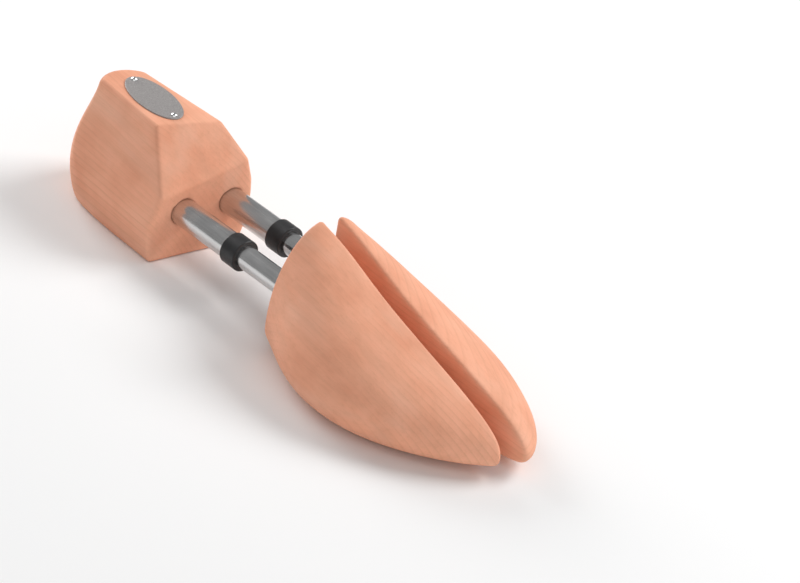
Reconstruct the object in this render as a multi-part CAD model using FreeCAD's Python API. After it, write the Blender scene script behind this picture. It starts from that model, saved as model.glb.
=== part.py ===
"""Cedar shoe tree for a right shoe, with twin telescoping tubes and a split toe.

Frame: X runs from heel to toe, Y to the medial (left) side, Z up, in millimetres. The tree stands on its
flat heel base and ball, at its full free length, with the toe halves spread to their stops. The origin is
the middle of the bounding box's lowest face; the model is built with X = 0 at the back of the heel block
and moved there at the end.
"""

import FreeCAD, Part

import math
import os

V = FreeCAD.Vector

# ---------------------------------------------------------------- driving dimensions
LENGTH_TRAVEL = 30.0  # how far the toe can be pushed towards the heel
SPREAD_TRAVEL = 3.5  # how far each toe half can be pushed inwards
SPLIT_GAP = 9.0  # between the toe halves, spread

HEEL_HEIGHT = 57.0
HEEL_YAW = -4.3  # degrees, the heel's own axis turns to the lateral side
HEEL_PIVOT = V(38, 0, 0)  # under the middle of the plate
TOP_FRONT = 65.2  # front edge of the flat top, on the heel's axis
# the flat top's side edges, each from the heel's axis: (side, near the back, at the front)
TOP_SIDES = [(-1, 13.5, 14.3), (1, 11.1, 16.1)]
TOP_SIDE_LENGTH = 40.0
SIDE_FACET = 70.0  # degrees below level
FRONT_FACET = 45.0  # degrees below level
FRONT_SKEW = -15.0  # degrees, the front facet looks a little to the lateral side
FACET_FOOT_Z = 38.0
HEEL_FRONT_BASE = 83.0
HEEL_EDGE_R, TOE_EDGE_R = 2.0, 1.4  # sanded edges
# heel outline at each height: height, back, half width at the back and at the front, middle
HEEL_LEVELS = [
    (0.0, 4.0, 25.0, 25.0, 0.0),
    (8.0, 1.2, 27.4, 27.4, 0.0),
    (20.0, 0.0, 28.6, 28.6, 0.0),
    (38.0, 4.2, 24.6, 26.4, -0.6),
    (HEEL_HEIGHT, 9.8, 15.4, 20.0, -2.2),
]

PLATE_LENGTH, PLATE_WIDTH, PLATE_THICK = 41.0, 18.9, 0.6
PLATE_MIDDLE = V(39.8, -0.8, HEEL_HEIGHT)
PLATE_YAW = -3.2  # degrees, on the heel
PIN_INSET = 2.9  # pin centre in from the end of the plate
PIN_HEAD_R, PIN_HEAD_H, PIN_SHANK_R, PIN_LENGTH = 1.7, 1.2, 0.6, 9.0

TUBE_Y, TUBE_Z = 13.0, 24.0
OUTER_R, OUTER_WALL = 6.35, 0.9
OUTER_BACK, OUTER_MOUTH = 24.0, 124.0
RUNNING = 0.08  # radial clearance of everything that slides
INNER_WALL = 0.8
INNER_BACK, INNER_FRONT = 64.0, 204.0
PLUG_FLANGE, PLUG_LENGTH = 2.0, 4.0
SEAT_X, SEAT_LENGTH = 102.0, 4.0  # plug in the inner tube that the spring pushes on
SPRING_WIRE_R = 0.5
SPRING_TURNS = 24
STOP_X, STOP_R = 112.0, 1.1
COLLAR_LENGTH, COLLAR_LIP, COLLAR_WALL = 9.0, 2.0, 1.1
BRAD_X, BRAD_R, BRAD_HEAD_R, BRAD_SINK = 46.0, 0.9, 2.1, 1.2

TOE_BACK = 160.0
ROD_R = 2.5
ROD_X, ROD_REACH = 194.0, 29.0  # the rod goes through both inner tubes
PIN_X, PIN_Z = 240.0, 16.0  # the guide pin, ahead of the tubes
PIN_LATERAL, PIN_MEDIAL = 20.0, 22.0  # how far it reaches to each side
BUSH_WALL = 1.0
ROD_BUSH_START, ROD_BUSH_END = 23.4, 30.0
PIN_BUSH_LENGTH = 8.0
SPREAD_COIL_R, SPREAD_WIRE_R, SPREAD_TURNS = 4.3, 0.55, 6
SPREAD_SEAT = 5.0  # depth of the spread spring's seat in each half
LOOSE = 0.4  # clearance where the halves are only kept clear of tube, rod and pin

# outline of the toe block: x, lateral edge, medial edge, crown, underside, height of the widest line
TOE_STATIONS = [
    (160.0, -28.5, 26.5, 60.0, -1.5, 17.0),
    (170.0, -33.5, 30.0, 57.0, -1.5, 16.5),
    (182.0, -39.5, 34.0, 53.0, -1.5, 16.0),
    (196.0, -44.6, 37.6, 47.5, -1.5, 15.0),
    (210.0, -46.8, 39.6, 42.5, -1.5, 14.0),
    (224.0, -46.2, 40.0, 38.2, -1.3, 13.2),
    (238.0, -42.8, 38.8, 34.2, -0.6, 12.6),
    (251.0, -37.0, 35.6, 30.6, 0.6, 12.0),
    (263.0, -29.4, 31.0, 27.0, 2.0, 11.4),
    (273.0, -21.2, 25.8, 23.6, 3.4, 11.0),
    (280.5, -13.2, 20.4, 20.4, 4.7, 10.7),
    (285.5, -6.2, 15.4, 17.4, 5.9, 10.5),
    (288.4, -0.8, 11.0, 14.6, 7.2, 10.4),
    (289.8, 3.0, 7.4, 12.2, 8.6, 10.3),
]

INNER_R = OUTER_R - OUTER_WALL - RUNNING
INNER_BORE = INNER_R - INNER_WALL
BUSH_R = ROD_R + RUNNING + BUSH_WALL
SPLIT = SPLIT_GAP / 2
FORWARD, BACKWARD = V(1, 0, 0), V(-1, 0, 0)
UP, DOWN = V(0, 0, 1), V(0, 0, -1)


# ---------------------------------------------------------------- small helpers
def cylinder(radius, length, start, direction):
    """A round bar from start along direction."""
    return Part.makeCylinder(radius, length, start, direction)


def ring(outer, inner, length, start, direction):
    """A round tube from start along direction."""
    return cylinder(outer, length, start, direction).cut(cylinder(inner, length, start, direction))


def outward(side):
    """The sideways direction away from the middle, for side -1 (lateral) or 1 (medial)."""
    return V(0, side, 0)


def turned(shape):
    """Turns a heel piece from the tree's axis to the heel's own axis."""
    moved = shape.copy()
    moved.rotate(HEEL_PIVOT, UP, HEEL_YAW)
    return moved


def beyond(point, normal, size=1200.0):
    """A large block that starts at point and lies along normal, to cut away with."""
    block = Part.makeBox(size, size, size, V(-size / 2, -size / 2, 0))
    block.Placement = FreeCAD.Placement(point, FreeCAD.Rotation(UP, V(normal).normalize()))
    return block


def soften(body, radius, choose):
    """Rounds the edges that choose picks."""
    return body.makeFillet(radius, [edge for edge in body.Edges if choose(edge)])


def coil(coil_radius, wire_radius, start, end, turns):
    """A round-wire compression spring that just fits between start and end."""
    length = (end - start).Length - 2 * wire_radius
    path = Part.makeHelix(length / turns, length, coil_radius)
    profile = Part.Wire(Part.Circle(V(coil_radius, 0, 0), V(0, 1, 0), wire_radius).toShape())
    spring = Part.Wire(path.Edges).makePipeShell([profile], True, True)
    spring.translate(V(0, 0, wire_radius))
    along = FreeCAD.Placement(start, FreeCAD.Rotation(UP, end - start))
    spring.Placement = along.multiply(spring.Placement)
    return spring


def tube_point(x, side):
    """A point on the axis of one of the two tubes."""
    return V(x, side * TUBE_Y, TUBE_Z)


# ---------------------------------------------------------------- heel
def heel_section(level, back, half_back, half_front, middle):
    """The heel's D-shaped outline at one height: round at the back, straight across the front."""
    side = [
        (95.0, half_front),
        (62.0, half_front),
        (back + half_back * 1.15, half_back),
        (back + half_back * 0.62, half_back * 0.90),
        (back + half_back * 0.25, half_back * 0.64),
        (back + half_back * 0.055, half_back * 0.31),
    ]
    points = [V(x, middle - y, level) for x, y in side]
    points += [V(back, middle, level)]
    points += [V(x, middle + y, level) for x, y in reversed(side)]
    curve = Part.BSplineCurve()
    curve.interpolate(points)
    across = Part.LineSegment(points[-1], points[0])
    return Part.Wire([curve.toShape(), across.toShape()])


def heel_form():
    """The heel's rounded form, cut by two side facets, the front facet and the front."""
    form = Part.makeLoft([heel_section(*level) for level in HEEL_LEVELS], True)
    facet = math.radians(SIDE_FACET)
    for side, near_back, at_front in TOP_SIDES:
        taper = (at_front - near_back) / TOP_SIDE_LENGTH
        normal = V(-taper * math.sin(facet), side * math.sin(facet), math.cos(facet))
        form = form.cut(beyond(V(TOP_FRONT, side * at_front, HEEL_HEIGHT), normal))
    facet = math.radians(FRONT_FACET)
    skew = math.radians(FRONT_SKEW)
    ahead = V(math.cos(skew), math.sin(skew), 0)
    top_edge = V(TOP_FRONT, 0, HEEL_HEIGHT)
    form = form.cut(beyond(top_edge, ahead * math.sin(facet) + UP * math.cos(facet)))
    facet_foot_x = TOP_FRONT + (HEEL_HEIGHT - FACET_FOOT_Z) / math.tan(facet)
    lean = V(HEEL_FRONT_BASE - facet_foot_x, 0, -FACET_FOOT_Z)
    form = form.cut(beyond(V(facet_foot_x, 0, FACET_FOOT_Z), V(-lean.z, 0, lean.x)))
    return form


def heel_block():
    """The cedar block, with the two tube bores and the holes of the pins and brads."""
    form = heel_form()
    block = turned(form.makeFillet(HEEL_EDGE_R, form.Edges))
    for side in (-1, 1):
        block = block.cut(cylinder(OUTER_R, 100, tube_point(OUTER_BACK - PLUG_FLANGE, side), FORWARD))
        block = block.cut(cylinder(BRAD_HEAD_R, 2 * BRAD_SINK, V(BRAD_X, side * TUBE_Y, BRAD_SINK), DOWN))
    return block.cut(tube_brads()).cut(plate_pins())


def on_plate(shape):
    """Moves a shape made about the origin to the middle of the plate and turns it with the plate."""
    moved = shape.copy()
    moved.rotate(V(0, 0, 0), UP, PLATE_YAW)
    moved.translate(PLATE_MIDDLE)
    return turned(moved)


def heel_plate():
    """Blank oval plate on the flat top."""
    oval = Part.Ellipse(V(0, 0, 0), PLATE_LENGTH / 2, PLATE_WIDTH / 2)
    plate = Part.Face(Part.Wire(oval.toShape())).extrude(V(0, 0, PLATE_THICK))
    plate = soften(plate, 0.25, lambda edge: edge.BoundBox.ZMin > PLATE_THICK / 2)
    return on_plate(plate).cut(plate_pins())


def plate_pins():
    """Two dome-headed pins, one at each end of the plate."""
    pins = []
    reach = PLATE_LENGTH / 2 - PIN_INSET
    for x in (-reach, reach):
        seat = V(x, 0, PLATE_THICK)
        dome_r = (PIN_HEAD_R**2 + PIN_HEAD_H**2) / (2 * PIN_HEAD_H)
        dome = Part.makeSphere(dome_r, seat - V(0, 0, dome_r - PIN_HEAD_H))
        head = dome.common(cylinder(PIN_HEAD_R + 0.5, PIN_HEAD_H + 0.5, seat, UP))
        shank = cylinder(PIN_SHANK_R, PIN_LENGTH, seat, DOWN)
        pins.append(on_plate(head.fuse(shank).removeSplitter()))
    return Part.makeCompound(pins)


# ---------------------------------------------------------------- telescoping tubes
def outer_tube(side):
    """Steel tube fixed in the heel block."""
    length = OUTER_MOUTH - OUTER_BACK
    tube = ring(OUTER_R, OUTER_R - OUTER_WALL, length, tube_point(OUTER_BACK, side), FORWARD)
    return tube.cut(stop_rivet(side)).cut(tube_brad(side))


def end_plug(side):
    """Flanged plug that closes the back of the outer tube; the length spring stands on it."""
    start = tube_point(OUTER_BACK, side)
    flange = cylinder(OUTER_R, PLUG_FLANGE, start, BACKWARD)
    return flange.fuse(cylinder(OUTER_R - OUTER_WALL, PLUG_LENGTH, start, FORWARD)).removeSplitter()


def collar(side):
    """Plastic collar over the mouth of the outer tube; its lip guides the inner tube."""
    sleeve_length = COLLAR_LENGTH - COLLAR_LIP
    start = tube_point(OUTER_MOUTH - sleeve_length, side)
    whole = cylinder(OUTER_R + COLLAR_WALL, COLLAR_LENGTH, start, FORWARD)
    whole = soften(whole, 0.5, lambda edge: edge.BoundBox.XLength < 0.01)
    whole = whole.cut(cylinder(OUTER_R, sleeve_length, start, FORWARD))
    lip = tube_point(OUTER_MOUTH - 1, side)
    return whole.cut(cylinder(INNER_R + RUNNING, COLLAR_LENGTH, lip, FORWARD))


def stop_rivet(side):
    """Rivet through the underside of the outer tube; its tip runs in the inner tube's slot."""
    tip_depth = INNER_BORE + 0.15
    shank = cylinder(STOP_R, OUTER_R - tip_depth, tube_point(STOP_X, side) + DOWN * tip_depth, DOWN)
    head = cylinder(STOP_R + 0.7, 0.6, tube_point(STOP_X, side) + DOWN * (OUTER_R - 0.1), DOWN)
    return shank.fuse(head).removeSplitter()


def tube_brad(side):
    """Headed brad from the heel's base up into the wall of the outer tube."""
    foot = V(BRAD_X, side * TUBE_Y, BRAD_SINK)
    shank = cylinder(BRAD_R, TUBE_Z - OUTER_R + OUTER_WALL - BRAD_SINK, foot, UP)
    return shank.fuse(cylinder(BRAD_HEAD_R, 0.8, foot, DOWN)).removeSplitter()


def tube_brads():
    return Part.makeCompound([tube_brad(-1), tube_brad(1)])


def stop_rivets():
    return Part.makeCompound([stop_rivet(-1), stop_rivet(1)])


def inner_tube(side):
    """Steel tube that slides in the outer tube, with the stop's slot below and the rod's hole across."""
    length = INNER_FRONT - INNER_BACK
    tube = ring(INNER_R, INNER_BORE, length, tube_point(INNER_BACK, side), FORWARD)
    slot_half = STOP_R + 0.15
    corner = tube_point(STOP_X, side) - V(0, slot_half, OUTER_R)
    slot = Part.makeBox(LENGTH_TRAVEL, 2 * slot_half, OUTER_R, corner)
    for x in (STOP_X, STOP_X + LENGTH_TRAVEL):
        slot = slot.fuse(cylinder(slot_half, OUTER_R, tube_point(x, side), DOWN))
    return tube.cut(slot).cut(cylinder(ROD_R, 80, V(ROD_X, -40, TUBE_Z), V(0, 1, 0)))


def spring_seat(side):
    """Plug fixed inside the inner tube, which the length spring pushes on."""
    return cylinder(INNER_BORE, SEAT_LENGTH, tube_point(SEAT_X, side), FORWARD)


def length_spring(side):
    """Long compression spring inside the tubes, between the end plug and the spring seat."""
    coil_radius = INNER_BORE - SPRING_WIRE_R - 0.35
    start = tube_point(OUTER_BACK + PLUG_LENGTH, side)
    return coil(coil_radius, SPRING_WIRE_R, start, tube_point(SEAT_X, side), SPRING_TURNS)


# ---------------------------------------------------------------- toe
def toe_section(x, lateral, medial, crown, underside, widest):
    """Outline of the toe block across X: a crowned top on a flatter sole with rounded edges."""
    middle = (lateral + medial) / 2
    half = (medial - lateral) / 2
    points = []
    steps = 20
    for i in range(steps):
        angle = 2 * math.pi * i / steps
        across, rise = math.cos(angle), math.sin(angle)
        if rise >= 0:
            y = middle + half * across
            z = widest + (crown - widest) * rise
        else:
            y = middle + half * math.copysign(abs(across) ** 0.86, across)
            z = widest - (widest - underside) * (-rise) ** 0.6
        points.append(V(x, y, z))
    curve = Part.BSplineCurve()
    curve.interpolate(points, PeriodicFlag=True)
    return Part.Wire(curve.toShape())


def toe_form():
    """The whole toe block before it is split, standing flat on its ball."""
    form = Part.makeLoft([toe_section(*station) for station in TOE_STATIONS], True)
    return form.cut(beyond(V(0, 0, 0), DOWN))


def tube_pocket(side):
    """Room for the inner tube's end, long enough sideways for the half to move in past it."""
    radius = INNER_R + LOOSE
    start_x = TOE_BACK - 5
    depth = INNER_FRONT + 0.5 - start_x
    near, far = side * TUBE_Y, side * (TUBE_Y + SPREAD_TRAVEL)
    pocket = Part.makeBox(depth, SPREAD_TRAVEL, 2 * radius, V(start_x, min(near, far), TUBE_Z - radius))
    for y in (near, far):
        pocket = pocket.fuse(cylinder(radius, depth, V(start_x, y, TUBE_Z), FORWARD))
    return pocket


def on_split(edge, side):
    """True for an edge that lies in a half's flat split face."""
    box = edge.BoundBox
    return abs(box.YMin - side * SPLIT) < 0.01 and box.YLength < 0.02


def on_back(edge):
    """True for an edge of the toe's back face, around the tube pockets."""
    return edge.BoundBox.XMax < TOE_BACK + 0.01


def toe_half(side, form):
    """One cedar half, with its tube pocket, rod bore, pin bore and spring seat."""
    half = form.cut(beyond(V(0, side * SPLIT, 0), outward(-side)))
    half = soften(half, TOE_EDGE_R, lambda edge: on_split(edge, side) or on_back(edge))
    half = half.cut(tube_pocket(side))
    rod_line = V(ROD_X, 0, TUBE_Z)
    half = half.cut(cylinder(BUSH_R, ROD_BUSH_END, rod_line, outward(side)))
    half = half.cut(cylinder(ROD_R + LOOSE, ROD_REACH + SPREAD_TRAVEL + 1, rod_line, outward(side)))
    pin_line = V(PIN_X, 0, PIN_Z)
    half = half.cut(cylinder(SPREAD_COIL_R + 0.8, SPLIT + SPREAD_SEAT, pin_line, outward(side)))
    if side > 0:
        return half.cut(cylinder(ROD_R, PIN_MEDIAL, pin_line, outward(side)))
    half = half.cut(cylinder(BUSH_R, SPLIT + SPREAD_SEAT + PIN_BUSH_LENGTH, pin_line, outward(side)))
    return half.cut(cylinder(ROD_R + LOOSE, PIN_LATERAL + 2 * SPREAD_TRAVEL + 1, pin_line, outward(side)))


def cross_rod():
    """Steel rod fixed across both inner tubes; both halves slide on its ends."""
    return cylinder(ROD_R, 2 * ROD_REACH, V(ROD_X, -ROD_REACH, TUBE_Z), V(0, 1, 0))


def rod_bush(side):
    """Plastic bush in a toe half, on the end of the cross rod."""
    start = V(ROD_X, side * ROD_BUSH_START, TUBE_Z)
    return ring(BUSH_R, ROD_R + RUNNING, ROD_BUSH_END - ROD_BUSH_START, start, outward(side))


def guide_pin():
    """Steel pin fixed in the medial half, sliding in the lateral one."""
    return cylinder(ROD_R, PIN_LATERAL + PIN_MEDIAL, V(PIN_X, -PIN_LATERAL, PIN_Z), V(0, 1, 0))


def pin_bush():
    """Plastic bush in the lateral half, on the guide pin."""
    start = V(PIN_X, -SPLIT - SPREAD_SEAT, PIN_Z)
    return ring(BUSH_R, ROD_R + RUNNING, PIN_BUSH_LENGTH, start, outward(-1))


def spread_spring():
    """Compression spring around the guide pin, seated in both halves."""
    reach = SPLIT + SPREAD_SEAT
    return coil(SPREAD_COIL_R, SPREAD_WIRE_R, V(PIN_X, -reach, PIN_Z), V(PIN_X, reach, PIN_Z), SPREAD_TURNS)


# ---------------------------------------------------------------- assembly
def build():
    """Every piece by name."""
    form = toe_form()
    pieces = {
        "heel_block": heel_block(),
        "heel_plate": heel_plate(),
        "plate_pins": plate_pins(),
        "tube_brads": tube_brads(),
        "stop_rivets": stop_rivets(),
        "cross_rod": cross_rod(),
        "guide_pin": guide_pin(),
        "pin_bush": pin_bush(),
        "spread_spring": spread_spring(),
    }
    for name, side in (("lateral", -1), ("medial", 1)):
        pieces["outer_tube_" + name] = outer_tube(side)
        pieces["end_plug_" + name] = end_plug(side)
        pieces["collar_" + name] = collar(side)
        pieces["inner_tube_" + name] = inner_tube(side)
        pieces["spring_seat_" + name] = spring_seat(side)
        pieces["length_spring_" + name] = length_spring(side)
        pieces["toe_half_" + name] = toe_half(side, form)
        pieces["rod_bush_" + name] = rod_bush(side)
    return pieces


def main():
    pieces = build()
    box = Part.makeCompound(list(pieces.values())).optimalBoundingBox(False)
    to_origin = V(-box.Center.x, -box.Center.y, -box.ZMin)
    os.makedirs("parts", exist_ok=True)
    for name, shape in pieces.items():
        moved = shape.copy()
        moved.translate(to_origin)
        moved.exportStep("parts/" + name + ".step")
    print("moved by", to_origin)


main()
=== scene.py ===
import math

import bpy
from mathutils import Matrix, Vector


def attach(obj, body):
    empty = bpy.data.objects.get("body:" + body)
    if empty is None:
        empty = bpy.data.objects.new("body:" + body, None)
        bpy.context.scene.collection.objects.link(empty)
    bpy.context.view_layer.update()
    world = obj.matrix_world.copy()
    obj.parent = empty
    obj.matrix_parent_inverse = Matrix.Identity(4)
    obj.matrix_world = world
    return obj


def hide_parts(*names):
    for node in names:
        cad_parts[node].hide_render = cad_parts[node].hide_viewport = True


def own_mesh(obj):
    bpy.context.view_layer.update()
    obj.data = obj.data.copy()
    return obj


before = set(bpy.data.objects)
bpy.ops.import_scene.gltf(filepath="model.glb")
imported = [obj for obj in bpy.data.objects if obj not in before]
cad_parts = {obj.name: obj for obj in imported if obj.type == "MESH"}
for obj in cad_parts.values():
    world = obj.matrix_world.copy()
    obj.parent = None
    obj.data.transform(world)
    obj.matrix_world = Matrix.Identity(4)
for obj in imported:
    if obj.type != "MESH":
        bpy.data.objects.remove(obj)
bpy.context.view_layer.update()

# ---------------------------------------------------------------- places and sizes, in metres
AXIS_Y = 0.003441  # the tree's middle line, between the tubes
HEEL_YAW = math.radians(-4.3)
HEEL_PIVOT = Vector((-0.106898, AXIS_Y, 0.0))
HEEL_TOP = 0.057
TUBE_Y, TUBE_Z = 0.013, 0.024

WOOD_VOXEL = 0.0007  # the softened wood's mesh
SANDING_ROUNDS = 4

CLOSED_TURNS = 0.75  # at each end of a spring
LENGTH_SPRING_X = -0.116898
LENGTH_SPRING, LENGTH_TRAVEL = 0.074, 0.030
LENGTH_COIL_R, LENGTH_WIRE_R, LENGTH_TURNS = 0.00372, 0.0005, 24
SPREAD_MIDDLE = (0.095102, AXIS_Y, 0.016)
SPREAD_HALF, SPREAD_TRAVEL = 0.0090, 0.0035
SPREAD_COIL_R, SPREAD_WIRE_R, SPREAD_TURNS = 0.0039, 0.00055, 6


# ---------------------------------------------------------------- material helpers
class Nodes:
    """A material's node tree, with short ways to add and join nodes."""

    def __init__(self, name):
        self.material = bpy.data.materials.new(name)
        self.material.use_nodes = True
        self.tree = self.material.node_tree
        self.shader = self.tree.nodes["Principled BSDF"]
        self.place = self.add("ShaderNodeTexCoord").outputs["Object"]

    def add(self, kind, **values):
        node = self.tree.nodes.new(kind)
        for key, value in values.items():
            setattr(node, key, value)
        return node

    def join(self, source, target):
        self.tree.links.new(source, target)

    def mapped(self, scale, rotation=(0, 0, 0), location=(0, 0, 0), source=None):
        """The object's own coordinates, turned and stretched."""
        node = self.add("ShaderNodeMapping")
        node.inputs["Scale"].default_value = scale
        node.inputs["Rotation"].default_value = rotation
        node.inputs["Location"].default_value = location
        self.join(source or self.place, node.inputs["Vector"])
        return node.outputs["Vector"]

    def noise(self, vector, scale, detail=3.0, roughness=0.5):
        node = self.add("ShaderNodeTexNoise")
        node.inputs["Scale"].default_value = scale
        node.inputs["Detail"].default_value = detail
        node.inputs["Roughness"].default_value = roughness
        self.join(vector, node.inputs["Vector"])
        return node.outputs["Fac"]

    def ramp(self, source, stops):
        """Colour (or grey) by value: stops is a list of (position, colour)."""
        node = self.add("ShaderNodeValToRGB")
        ramp = node.color_ramp
        while len(ramp.elements) < len(stops):
            ramp.elements.new(0.5)
        for element, (position, colour) in zip(ramp.elements, stops):
            element.position = position
            element.color = (*colour, 1.0)
        self.join(source, node.inputs["Fac"])
        return node.outputs["Color"]

    def mix(self, factor, a, b):
        node = self.add("ShaderNodeMix", data_type="RGBA")
        for socket, value in (("Factor", factor), ("A", a), ("B", b)):
            found = [s for s in node.inputs if s.name == socket and s.enabled][0]
            if isinstance(value, bpy.types.NodeSocket):
                self.join(value, found)
            else:
                found.default_value = value if isinstance(value, (int, float)) else (*value, 1.0)
        return [s for s in node.outputs if s.enabled][0]

    def math(self, operation, a, b=0.0):
        node = self.add("ShaderNodeMath", operation=operation)
        for socket, value in zip(node.inputs, (a, b)):
            if isinstance(value, bpy.types.NodeSocket):
                self.join(value, socket)
            else:
                socket.default_value = value
        return node.outputs[0]

    def stretch(self, source, low, high, to_low, to_high):
        node = self.add("ShaderNodeMapRange")
        limits = {"From Min": low, "From Max": high, "To Min": to_low, "To Max": to_high}
        for name, value in limits.items():
            node.inputs[name].default_value = value
        self.join(source, node.inputs["Value"])
        return node.outputs["Result"]

    def bump(self, height, strength, distance, normal=None):
        node = self.add("ShaderNodeBump")
        node.inputs["Strength"].default_value = strength
        node.inputs["Distance"].default_value = distance
        self.join(height, node.inputs["Height"])
        if normal:
            self.join(normal, node.inputs["Normal"])
        return node.outputs["Normal"]

    def finish(self, colour=None, roughness=None, normal=None, **constants):
        """Joins the given sockets to the shader and sets its constants."""
        for name, socket in (("Base Color", colour), ("Roughness", roughness), ("Normal", normal)):
            if socket is not None:
                self.join(socket, self.shader.inputs[name])
        for name, value in constants.items():
            self.shader.inputs[name.replace("_", " ")].default_value = value
        return self.material


# ---------------------------------------------------------------- materials
def grey(value):
    return (value, value, value)


def cedar(name, offset):
    """Bare sanded red cedar: straight grain along the block, faint rings, fine pores, pale patches."""
    n = Nodes(name)
    turned = n.mapped((1, 1, 1), rotation=(0.10, -0.05, 0.06), location=offset)
    bend = n.noise(n.mapped((5, 16, 16), source=turned), 1.0, detail=2.0)
    axis = n.add("ShaderNodeSeparateXYZ")
    n.join(turned, axis.inputs[0])
    # growth rings: distance across the grain from a pith far below, bent a little along the length
    depth = n.math("ADD", axis.outputs["Z"], 0.11)
    across = n.math("ADD", axis.outputs["Y"], 0.045)
    squares = n.math("ADD", n.math("MULTIPLY", depth, depth), n.math("MULTIPLY", across, across))
    radius = n.math("SQRT", squares)
    wobble = n.math("MULTIPLY", n.math("SUBTRACT", bend, 0.5), 0.009)
    ring = n.math("MULTIPLY", n.math("ADD", radius, wobble), 420.0)
    saw = n.math("FRACT", ring)
    late = n.ramp(saw, [(0.0, grey(0.0)), (0.62, grey(0.16)), (0.88, grey(0.85)), (1.0, grey(0.0))])
    patches = n.noise(n.mapped((9, 30, 30), source=turned), 1.0, detail=1.0)
    ring_strength = n.stretch(patches, 0.35, 0.7, 0.08, 0.38)
    fibre = n.noise(n.mapped((28, 900, 900), source=turned), 1.0, detail=4.0, roughness=0.65)
    streak = n.noise(n.mapped((6, 130, 130), source=turned), 1.0, detail=3.0, roughness=0.55)
    cloud = n.noise(n.mapped((38, 52, 52), source=turned), 1.0, detail=3.0, roughness=0.5)
    tones = [(0.30, (0.810, 0.352, 0.214)), (0.52, (0.895, 0.420, 0.266)), (0.74, (0.925, 0.465, 0.306))]
    base = n.ramp(cloud, tones)
    colour = n.mix(n.math("MULTIPLY", late, ring_strength), base, (0.560, 0.245, 0.140))
    colour = n.mix(n.stretch(streak, 0.42, 0.72, 0.0, 0.32), colour, (0.620, 0.300, 0.185))
    colour = n.mix(n.stretch(fibre, 0.50, 0.80, 0.0, 0.22), colour, (0.500, 0.225, 0.130))
    pale = n.noise(n.mapped((12, 60, 60), source=turned, location=(3, 1, 2)), 1.0, detail=2.0)
    colour = n.mix(n.stretch(pale, 0.52, 0.74, 0.0, 0.35), colour, (0.880, 0.540, 0.390))
    pores = n.add("ShaderNodeTexVoronoi", feature="F1")
    pores.inputs["Scale"].default_value = 1.0
    n.join(n.mapped((130, 1500, 1500), source=turned), pores.inputs["Vector"])
    pore = n.stretch(pores.outputs["Distance"], 0.05, 0.22, 1.0, 0.0)
    colour = n.mix(n.math("MULTIPLY", pore, 0.14), colour, (0.380, 0.165, 0.095))
    rough = n.stretch(fibre, 0.3, 0.8, 0.62, 0.80)
    normal = n.bump(fibre, 0.35, 0.00012)
    normal = n.bump(n.math("MULTIPLY", saw, ring_strength), 0.25, 0.00010, normal)
    return n.finish(colour, rough, normal, Specular_IOR_Level=0.28)


def plate_metal():
    """Matte blasted metal with a fine salt-and-pepper speckle."""
    n = Nodes("plate_grey")
    speck = n.noise(n.mapped((1, 1, 1)), 3600.0, detail=2.0, roughness=0.7)
    coarse = n.noise(n.mapped((1, 1, 1)), 900.0, detail=2.0)
    cloud = n.noise(n.mapped((1, 1, 1)), 120.0, detail=2.0)
    tones = [(0.30, (0.215, 0.201, 0.197)), (0.50, (0.362, 0.341, 0.335)), (0.72, (0.520, 0.498, 0.492))]
    colour = n.ramp(speck, tones)
    colour = n.mix(n.stretch(coarse, 0.35, 0.7, 0.0, 0.35), colour, (0.270, 0.252, 0.246))
    colour = n.mix(n.stretch(cloud, 0.4, 0.7, 0.0, 0.15), colour, (0.42, 0.40, 0.39))
    rough = n.stretch(coarse, 0.3, 0.7, 0.50, 0.66)
    normal = n.bump(speck, 0.40, 0.00005)
    return n.finish(colour, rough, normal, Metallic=0.45)


def metal(name, dark, light, rough_low, rough_high, along=(60, 1400, 1400)):
    """Drawn or turned metal: fine lines along one direction and slight clouds in the shine."""
    n = Nodes(name)
    lines = n.noise(n.mapped(along), 1.0, detail=3.0, roughness=0.6)
    cloud = n.noise(n.mapped((1, 1, 1)), 90.0, detail=3.0)
    both = n.math("MULTIPLY", n.math("ADD", lines, cloud), 0.5)
    colour = n.ramp(both, [(0.35, dark), (0.65, light)])
    rough = n.stretch(cloud, 0.3, 0.7, rough_low, rough_high)
    normal = n.bump(lines, 0.25, 0.00001)
    return n.finish(colour, rough, normal, Metallic=1.0)


def nylon():
    """Black moulded plastic, faintly grained."""
    n = Nodes("nylon_black")
    grain = n.noise(n.mapped((1, 1, 1)), 2600.0, detail=2.0)
    cloud = n.noise(n.mapped((1, 1, 1)), 160.0, detail=2.0)
    colour = n.ramp(cloud, [(0.3, (0.012, 0.012, 0.013)), (0.7, (0.024, 0.024, 0.026))])
    rough = n.stretch(grain, 0.3, 0.7, 0.36, 0.50)
    return n.finish(colour, rough, n.bump(grain, 0.2, 0.00003))


CEDAR_HEEL = cedar("cedar_heel", (0.31, 0.12, 0.05))
CEDAR_LATERAL = cedar("cedar_lateral", (0.11, 0.42, 0.27))
CEDAR_MEDIAL = cedar("cedar_medial", (0.53, -0.24, 0.38))
PLATE = plate_metal()
BRIGHT = metal("pin_chrome", grey(0.80), grey(0.90), 0.05, 0.10, along=(300, 300, 300))
TUBE = metal("tube_nickel", grey(0.60), grey(0.74), 0.16, 0.26)
ROD = metal("rod_steel", (0.48, 0.48, 0.50), (0.62, 0.62, 0.63), 0.24, 0.36, along=(1400, 60, 1400))
SPRING = metal("spring_wire", grey(0.42), grey(0.60), 0.24, 0.36, along=(700, 700, 700))
NYLON = nylon()


# ---------------------------------------------------------------- pieces
def wear(node, material):
    """Shows a CAD node in its own shape with that material."""
    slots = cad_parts[node].data.materials
    slots.clear()
    slots.append(material)


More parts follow.
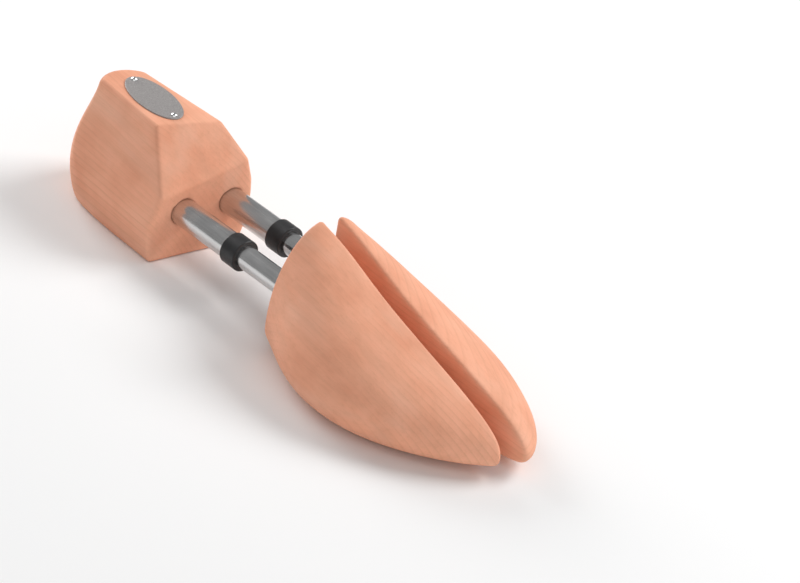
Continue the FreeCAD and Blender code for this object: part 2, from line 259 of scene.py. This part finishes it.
def softened(node, material):
    """A finer copy of a wooden CAD node with its edges sanded soft."""
    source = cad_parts[node]
    obj = source.copy()
    obj.data = source.data.copy()
    obj.name = node.replace("_", "-") + "-wood"
    bpy.context.scene.collection.objects.link(obj)
    obj.parent = None
    for key in [k for k in obj.keys() if k.startswith("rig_")]:
        del obj[key]
    remesh = obj.modifiers.new("even", "REMESH")
    remesh.mode = "VOXEL"
    remesh.voxel_size = WOOD_VOXEL
    remesh.use_smooth_shade = True
    smooth = obj.modifiers.new("sanded", "SMOOTH")
    smooth.factor = 0.5
    smooth.iterations = SANDING_ROUNDS
    bpy.context.view_layer.update()
    deps = bpy.context.evaluated_depsgraph_get()
    mesh = bpy.data.meshes.new_from_object(obj.evaluated_get(deps))
    obj.modifiers.clear()
    obj.data = mesh
    obj.data.materials.clear()
    obj.data.materials.append(material)
    return obj


def coil_mesh(name, start, direction, length, radius, wire, turns, part=(0.0, 1.0)):
    """A coil spring from start along direction, with closed end turns; part is the share of it kept."""
    steps = int(turns * 40)
    closed = CLOSED_TURNS / turns
    solid = 2.1 * wire * CLOSED_TURNS / length

    def along(t):
        if t < closed:
            return solid * t / closed
        if t > 1 - closed:
            return 1 - solid * (1 - t) / closed
        return solid + (1 - 2 * solid) * (t - closed) / (1 - 2 * closed)

    shares = [i / steps for i in range(steps + 1)]
    path = [t for t in shares if part[0] - 1e-9 <= along(t) <= part[1] + 1e-9]
    usable = length - 2 * wire
    turn_axis = Vector(direction).to_track_quat("Z", "Y").to_matrix().to_4x4()
    points = []
    for t in path:
        angle = 2 * math.pi * turns * t
        place = Vector((radius * math.cos(angle), radius * math.sin(angle), wire + usable * along(t)))
        points.append(Vector(start) + (turn_axis @ place.to_4d()).to_3d())
    curve = bpy.data.curves.new(name, "CURVE")
    curve.dimensions = "3D"
    curve.bevel_depth = wire
    curve.bevel_resolution = 4
    curve.use_fill_caps = True
    spline = curve.splines.new("POLY")
    spline.points.add(len(points) - 1)
    for point, place in zip(spline.points, points):
        point.co = (*place, 1.0)
    holder = bpy.data.objects.new(name + "-path", curve)
    bpy.context.scene.collection.objects.link(holder)
    bpy.context.view_layer.update()
    deps = bpy.context.evaluated_depsgraph_get()
    mesh = bpy.data.meshes.new_from_object(holder.evaluated_get(deps))
    bpy.data.objects.remove(holder)
    for polygon in mesh.polygons:
        polygon.use_smooth = True
    obj = bpy.data.objects.new(name, mesh)
    bpy.context.scene.collection.objects.link(obj)
    mesh.materials.clear()
    mesh.materials.append(SPRING)
    return obj


WOOD = {
    "heel_block": ("heel", CEDAR_HEEL),
    "toe_half_lateral": ("toe_lateral", CEDAR_LATERAL),
    "toe_half_medial": ("toe_medial", CEDAR_MEDIAL),
}
for node, (body, material) in WOOD.items():
    wood = softened(node, material)
    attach(wood, body)
    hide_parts(node)

HARDWARE = {
    PLATE: ["heel_plate"],
    BRIGHT: ["plate_pins"],
    TUBE: ["outer_tube_lateral", "outer_tube_medial", "inner_tube_lateral", "inner_tube_medial"],
    ROD: ["cross_rod", "guide_pin", "stop_rivets", "tube_brads"],
    NYLON: [
        "collar_lateral",
        "collar_medial",
        "end_plug_lateral",
        "end_plug_medial",
        "spring_seat_lateral",
        "spring_seat_medial",
        "rod_bush_lateral",
        "rod_bush_medial",
        "pin_bush",
    ],
}
for material, names in HARDWARE.items():
    for name in names:
        wear(name, material)

for side, name in ((-1, "lateral"), (1, "medial")):
    start = (LENGTH_SPRING_X, AXIS_Y + side * TUBE_Y, TUBE_Z)
    spring = coil_mesh("length-spring-" + name, start, (1, 0, 0), LENGTH_SPRING,
                       LENGTH_COIL_R, LENGTH_WIRE_R, LENGTH_TURNS)
    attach(spring, "heel")
    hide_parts("length_spring_" + name)
    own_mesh(spring)

# the spread spring in two halves, both carried by the carriage
for name, part in (("lateral", (0.0, 0.5)), ("medial", (0.5, 1.0))):
    start = (SPREAD_MIDDLE[0], AXIS_Y - SPREAD_HALF, SPREAD_MIDDLE[2])
    spring = coil_mesh("spread-spring-" + name, start, (0, 1, 0), 2 * SPREAD_HALF,
                       SPREAD_COIL_R, SPREAD_WIRE_R, SPREAD_TURNS, part)
    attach(spring, "carriage")
    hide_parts("spread_spring")
    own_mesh(spring)


# ---------------------------------------------------------------- floor, light and camera
def floor():
    bpy.ops.mesh.primitive_plane_add(size=12.0, location=(0, 0, 0))
    obj = bpy.context.object
    obj.name = "floor"
    n = Nodes("floor_white")
    tone = n.noise(n.mapped((1, 1, 1)), 3.0, detail=2.0)
    colour = n.ramp(tone, [(0.3, (0.90, 0.90, 0.90)), (0.7, (0.92, 0.92, 0.92))])
    rough = n.stretch(tone, 0.3, 0.7, 0.65, 0.75)
    obj.data.materials.append(n.finish(colour, rough))


def softbox(name, place, aim, size, power):
    light = bpy.data.lights.new(name, "AREA")
    light.shape = "RECTANGLE"
    light.size, light.size_y = size
    light.energy = power
    obj = bpy.data.objects.new(name, light)
    obj.location = place
    obj.rotation_euler = (Vector(aim) - Vector(place)).to_track_quat("-Z", "Y").to_euler()
    bpy.context.scene.collection.objects.link(obj)
    return obj


def light_studio():
    """Soft light from the medial side and from behind, a weaker one by the camera, white all round."""
    aim = Vector((-0.05, 0.0, 0.03))
    distance = 1.5
    softbox("medial", aim + Vector((0.31, 0.71, 0.68)) * distance, aim, (0.9, 0.7), 17.4)
    softbox("behind", aim + Vector((-0.93, 0.08, 0.36)) * distance, aim, (0.8, 0.8), 14.5)
    softbox("camera-side", aim + Vector((0.63, -0.55, 0.55)) * distance, aim, (2.4, 1.8), 7.6)
    world = bpy.data.worlds.new("studio")
    bpy.context.scene.world = world
    world.use_nodes = True
    back = world.node_tree.nodes["Background"]
    back.inputs["Color"].default_value = (1.0, 1.0, 1.0, 1.0)
    back.inputs["Strength"].default_value = 0.30


def camera():
    """Placed as the photographer's: in front, to the lateral side and above, slightly rolled."""
    scale = 1.08
    turn = Matrix.Rotation(HEEL_YAW, 3, "Z")
    plate = HEEL_PIVOT + Vector((0, 0, HEEL_TOP))
    place = plate + turn @ (Vector((0.9845, -0.7593, 0.6505)) * scale)
    right = turn @ Vector((0.60321, 0.78189, 0.15744))
    up = turn @ Vector((-0.48635, 0.20413, 0.84958))
    back = turn @ Vector((0.63214, -0.58905, 0.50341))
    data = bpy.data.cameras.new("camera")
    data.sensor_width = 36.0
    data.lens = 151.2
    data.clip_end = 30.0
    data.dof.use_dof = False
    obj = bpy.data.objects.new("camera", data)
    axes = Matrix((right, up, back)).transposed()
    obj.matrix_world = Matrix.Translation(place) @ axes.to_4x4()
    bpy.context.scene.collection.objects.link(obj)
    bpy.context.scene.camera = obj


floor()
light_studio()
camera()

bpy.context.scene.view_settings.view_transform = "Standard"
